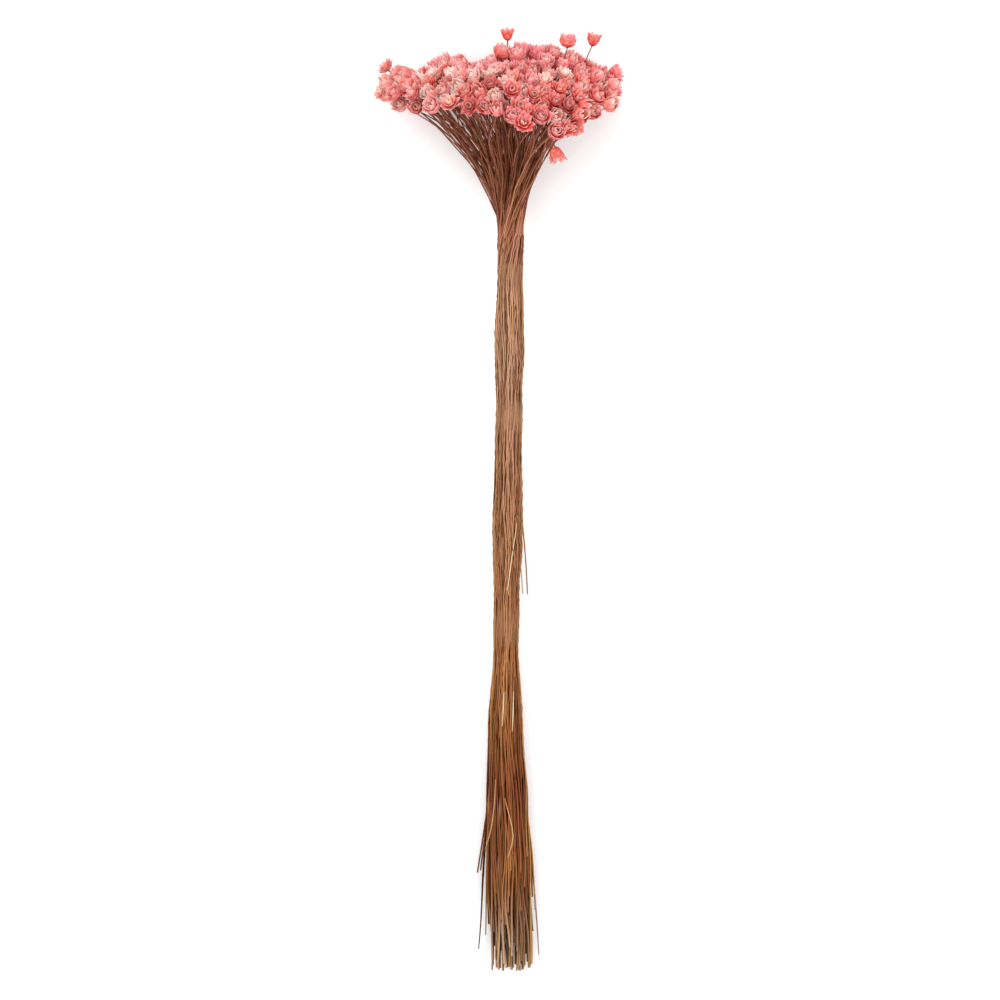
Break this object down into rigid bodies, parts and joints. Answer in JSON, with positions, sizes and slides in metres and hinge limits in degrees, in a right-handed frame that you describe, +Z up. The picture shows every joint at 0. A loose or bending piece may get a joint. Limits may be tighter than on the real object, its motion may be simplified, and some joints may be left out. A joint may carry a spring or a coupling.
{
  "type": "dried flower bunch",
  "caption": "Long slim bunch of dried coral pink everlasting flowers: fine brown stems that fan out under a wide flat-topped dome of papery star-shaped blooms.",
  "frame": {"origin": "on the surface the bunch lies on, under the centre of its outline seen from above", "axes": "+Y along the bunch towards its head, +X to the right with the head up, +Z up from the surface"},
  "size_m": [0.133, 0.5012, 0.111],
  "materials": {
    "stems": "dry dyed plant stem, matt to satin",
    "blooms": "dyed papery bracts, thin, dry, satin",
    "tie_band": "clear film, wrapped tight"
  },
  "bodies": {
    "root": {"stems": "stems", "blooms": "blooms", "tie_upper": "tie_band", "tie_middle": "tie_band", "tie_lower": "tie_band"}
  },
  "joints": []
}
